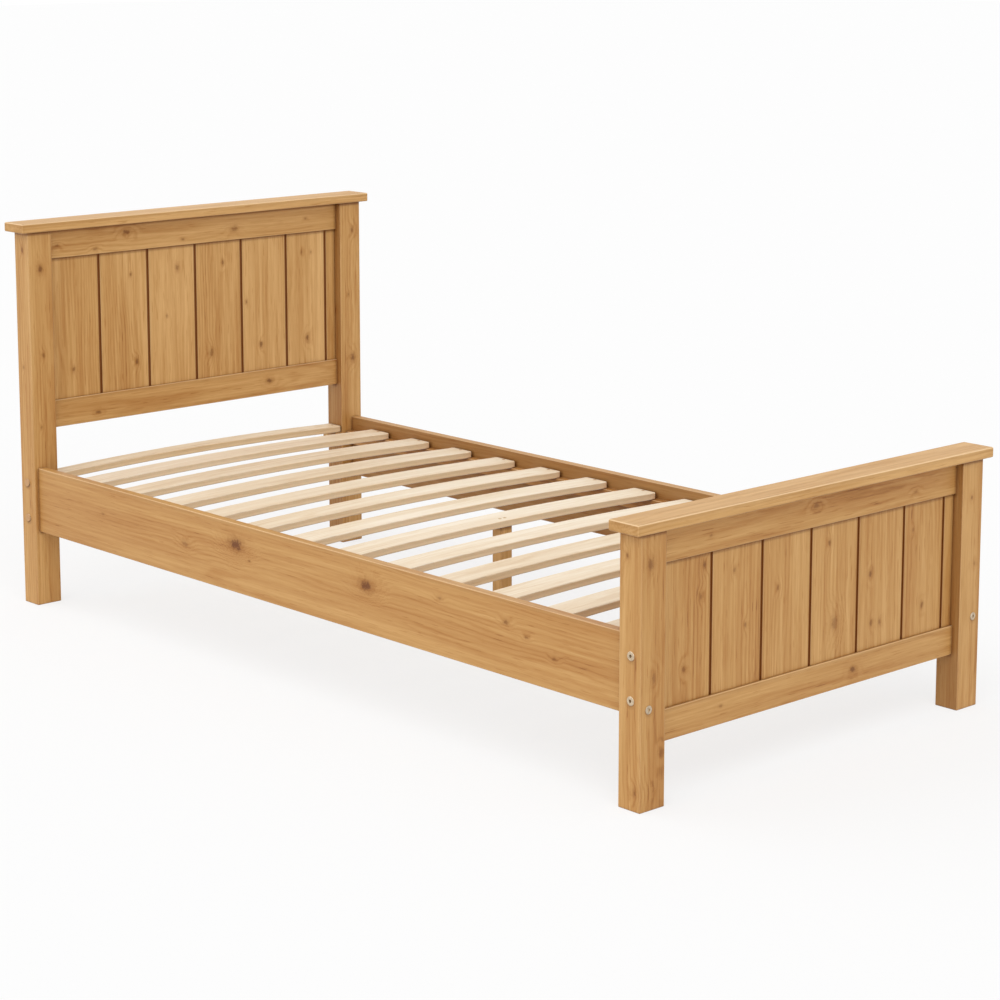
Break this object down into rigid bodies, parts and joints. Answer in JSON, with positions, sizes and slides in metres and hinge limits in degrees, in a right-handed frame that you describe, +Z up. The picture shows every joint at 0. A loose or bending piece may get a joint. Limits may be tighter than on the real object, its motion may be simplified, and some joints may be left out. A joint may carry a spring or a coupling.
{
  "type": "panel bed",
  "caption": "Low single bed frame in pine with a tall planked headboard, a planked footboard, deep side rails and bowed slats for a mattress.",
  "frame": {"origin": "on the floor, under the middle of the bed's length and width", "axes": "+X runs from the headboard to the footboard, +Y across the bed from side_rail_left to side_rail_right, +Z up"},
  "size_m": [2.035, 1.02, 0.895],
  "materials": {
    "waxed_pine": "honey coloured waxed pine with knots, satin",
    "pale_slat_pine": "bare planed pine, matt",
    "beech_dowel": "bare beech, matt",
    "cast_zinc": "cast zinc, satin",
    "cover_plastic": "wood coloured plastic, satin",
    "plated_steel": "zinc plated steel, satin"
  },
  "bodies": {
    "root": {"head_post_left": "waxed_pine", "head_post_right": "waxed_pine", "head_cap": "waxed_pine", "head_top_rail": "waxed_pine", "head_low_rail": "waxed_pine", "head_board_1": "waxed_pine", "head_board_2": "waxed_pine", "head_board_3": "waxed_pine", "head_board_4": "waxed_pine", "head_board_5": "waxed_pine", "head_board_6": "waxed_pine", "head_board_7": "waxed_pine", "foot_post_left": "waxed_pine", "foot_post_right": "waxed_pine", "foot_cap": "waxed_pine", "foot_top_rail": "waxed_pine", "foot_low_rail": "waxed_pine", "foot_board_1": "waxed_pine", "foot_board_2": "waxed_pine", "foot_board_3": "waxed_pine", "foot_board_4": "waxed_pine", "foot_board_5": "waxed_pine", "foot_board_6": "waxed_pine", "foot_board_7": "waxed_pine", "side_rail_left": "waxed_pine", "side_rail_right": "waxed_pine", "slat_ledger_left": "waxed_pine", "slat_ledger_right": "waxed_pine", "head_cleat_left": "waxed_pine", "head_cleat_right": "waxed_pine", "slat_01": "pale_slat_pine", "slat_02": "pale_slat_pine", "slat_03": "pale_slat_pine", "slat_04": "pale_slat_pine", "slat_05": "pale_slat_pine", "slat_06": "pale_slat_pine", "slat_07": "pale_slat_pine", "slat_08": "pale_slat_pine", "slat_09": "pale_slat_pine", "slat_10": "pale_slat_pine", "slat_11": "pale_slat_pine", "slat_12": "pale_slat_pine", "slat_13": "pale_slat_pine", "middle_leg": "waxed_pine", "head_rail_dowels": "beech_dowel", "foot_rail_dowels": "beech_dowel", "cap_dowels": "beech_dowel", "cams": "cast_zinc", "cam_covers": "cover_plastic", "cam_bolts": "plated_steel", "corner_bolts": "plated_steel", "barrel_nuts": "plated_steel", "ledger_screws": "plated_steel", "cleat_screws": "plated_steel", "slat_screws": "plated_steel", "leg_screws": "plated_steel"}
  },
  "joints": []
}
